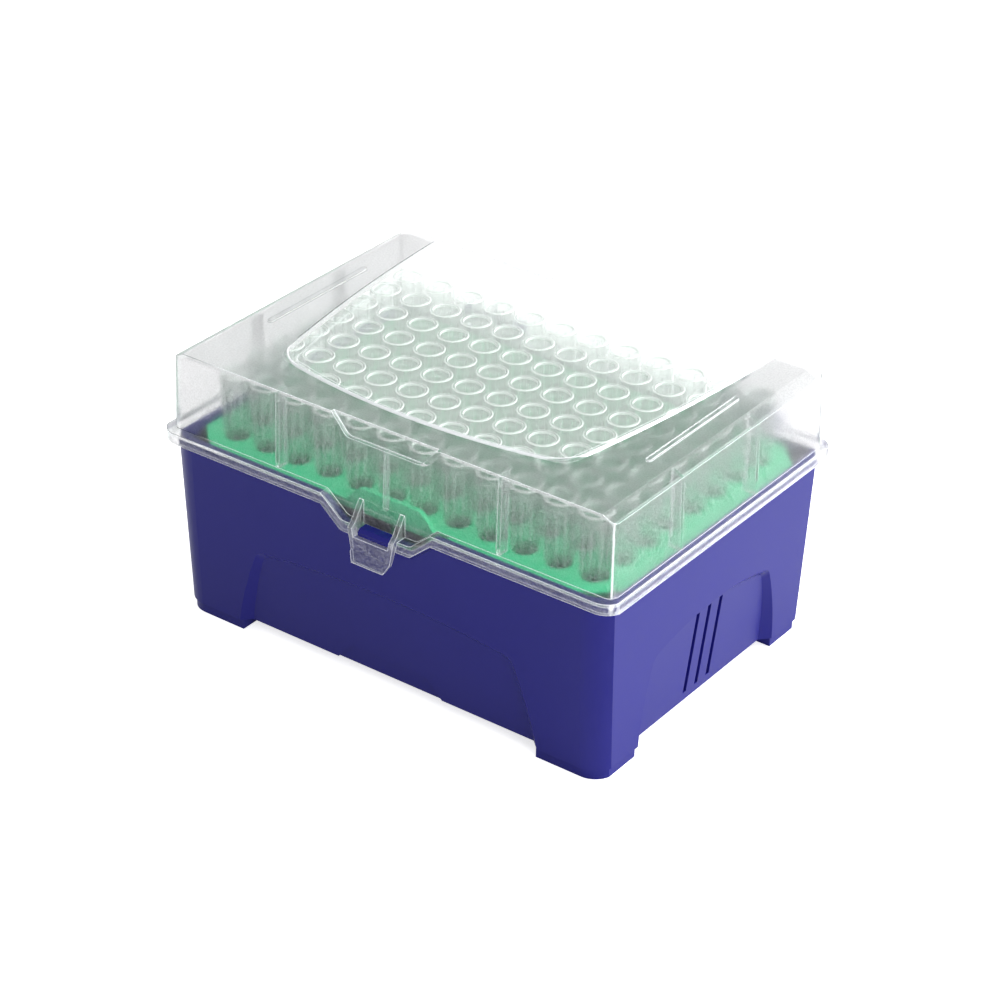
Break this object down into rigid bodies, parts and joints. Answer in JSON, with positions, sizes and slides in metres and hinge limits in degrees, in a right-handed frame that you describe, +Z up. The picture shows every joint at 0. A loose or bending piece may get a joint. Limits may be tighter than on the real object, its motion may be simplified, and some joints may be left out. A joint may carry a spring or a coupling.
{
  "type": "pipette tip box",
  "caption": "Hinged box of pipette tips: tub on four feet, hole plate with a full grid of tips, and a frosted see-through lid with a latch loop at the front.",
  "frame": {"origin": "under the middle of the whole box, hinge and latch included, on the surface it stands on", "axes": "+Z up, +X along the twelve columns of tips, -Y towards the latch, +Y towards the hinge"},
  "size_m": [0.125, 0.1001, 0.0678],
  "materials": {
    "tub_plastic": "satin, slightly translucent deep blue",
    "plate_plastic": "satin light green",
    "lid_plastic": "clear, frosted outside the glossy window",
    "tip_plastic": "natural translucent"
  },
  "bodies": {
    "base": {"tub": "tub_plastic", "tip_plate": "plate_plastic", "tips_column_01": "tip_plastic", "tips_column_02": "tip_plastic", "tips_column_03": "tip_plastic", "tips_column_04": "tip_plastic", "tips_column_05": "tip_plastic", "tips_column_06": "tip_plastic", "tips_column_07": "tip_plastic", "tips_column_08": "tip_plastic", "tips_column_09": "tip_plastic", "tips_column_10": "tip_plastic", "tips_column_11": "tip_plastic", "tips_column_12": "tip_plastic"},
    "lid": {"lid": "lid_plastic"}
  },
  "joints": [
    {"name": "lid_hinge", "type": "hinge", "parent": "base", "child": "lid", "pos_m": [0, 0.0452, 0.0464], "axis": [-1, 0, 0], "range_deg": [0, 115]}
  ]
}
